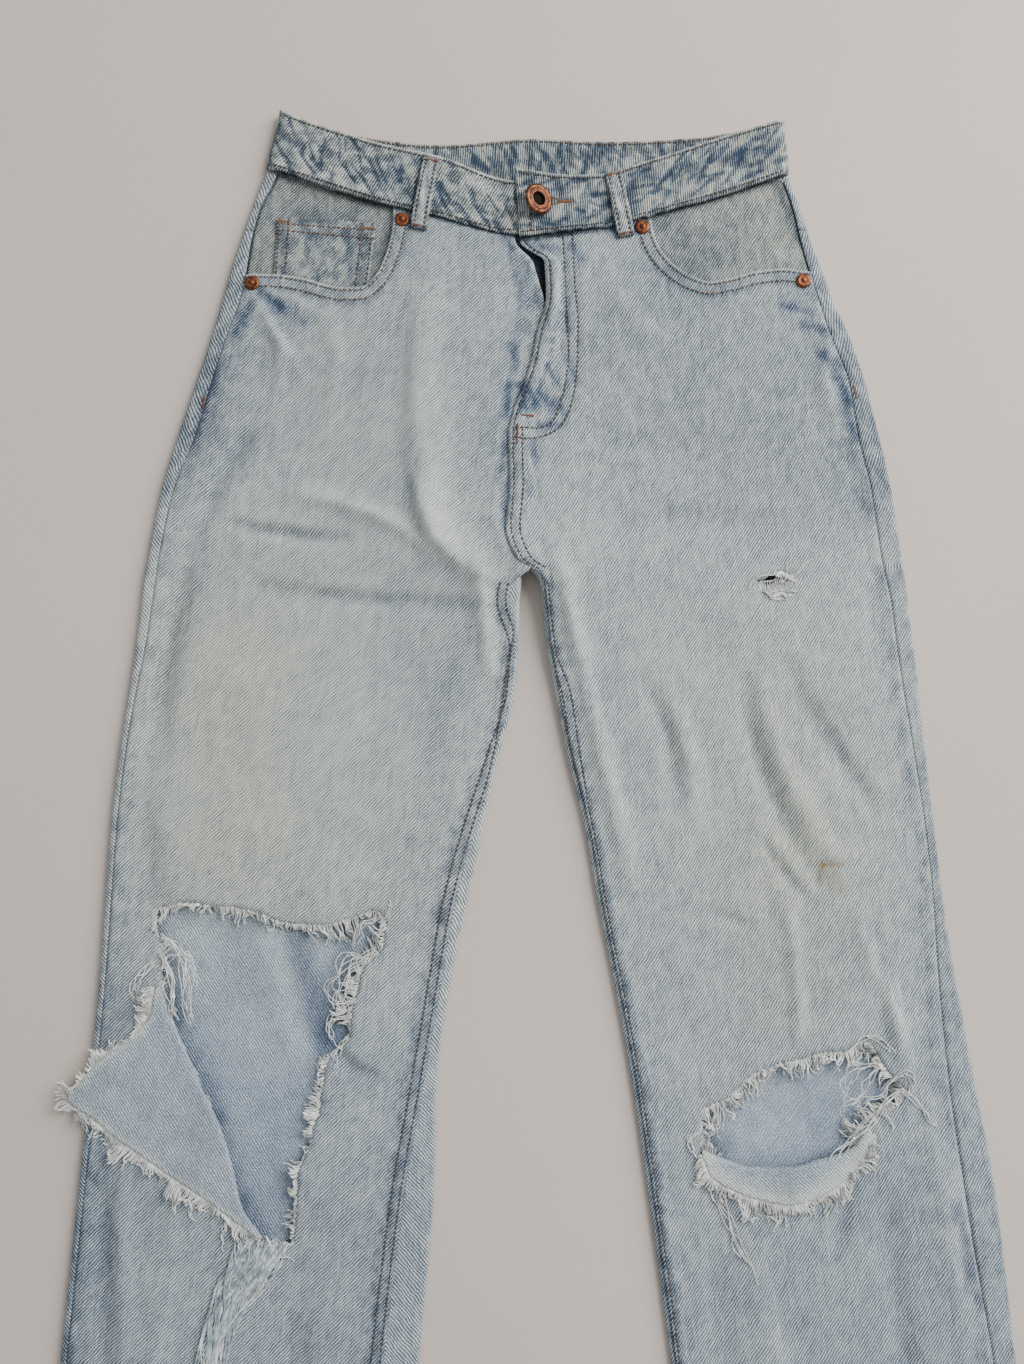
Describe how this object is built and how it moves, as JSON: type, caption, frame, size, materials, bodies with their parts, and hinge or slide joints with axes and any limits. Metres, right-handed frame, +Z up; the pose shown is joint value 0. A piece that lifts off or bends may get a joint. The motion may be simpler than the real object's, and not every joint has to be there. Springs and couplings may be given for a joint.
{
  "type": "ripped jeans laid flat",
  "caption": "High-waisted straight-leg jeans in bleached denim, laid out flat front up, with torn knees, a folded torn flap and a small thigh rip.",
  "frame": {"origin": "middle of the laid-out outline, on the surface that the jeans lie on", "axes": "+Y along the jeans from the hems to the waist, +X towards the wearer's left (to the right as seen from the front), +Z up out of the front"},
  "size_m": [0.609, 1.0171, 0.0202],
  "materials": {
    "washed_denim": "bleached cotton twill, matt, pale grey-blue fading to cream",
    "trim_denim": "the same cotton twill, less bleached, with dark blue patches at the seams",
    "dark_tape": "dark woven zip tape with closed metal teeth",
    "thread": "loose blue warp threads",
    "copper": "aged copper-plated button and rivets, slightly worn"
  },
  "bodies": {
    "root": {"front_right": "washed_denim", "front_left": "washed_denim", "back_right": "washed_denim", "back_left": "washed_denim", "yoke_right": "trim_denim", "yoke_left": "trim_denim", "waistband": "trim_denim", "facing_right": "trim_denim", "facing_left": "trim_denim", "coin_pocket": "washed_denim", "back_pocket_right": "washed_denim", "back_pocket_left": "washed_denim", "fly_shield": "trim_denim", "zip": "dark_tape", "loop_front_right": "trim_denim", "loop_front_left": "trim_denim", "loop_back_right": "trim_denim", "loop_back_centre": "trim_denim", "loop_back_left": "trim_denim", "knee_flap": "washed_denim", "knee_lip": "washed_denim", "thread_tassel": "thread", "button": "copper", "rivet_right_side": "copper", "rivet_right_front": "copper", "rivet_left_front": "copper", "rivet_left_side": "copper"}
  },
  "joints": []
}
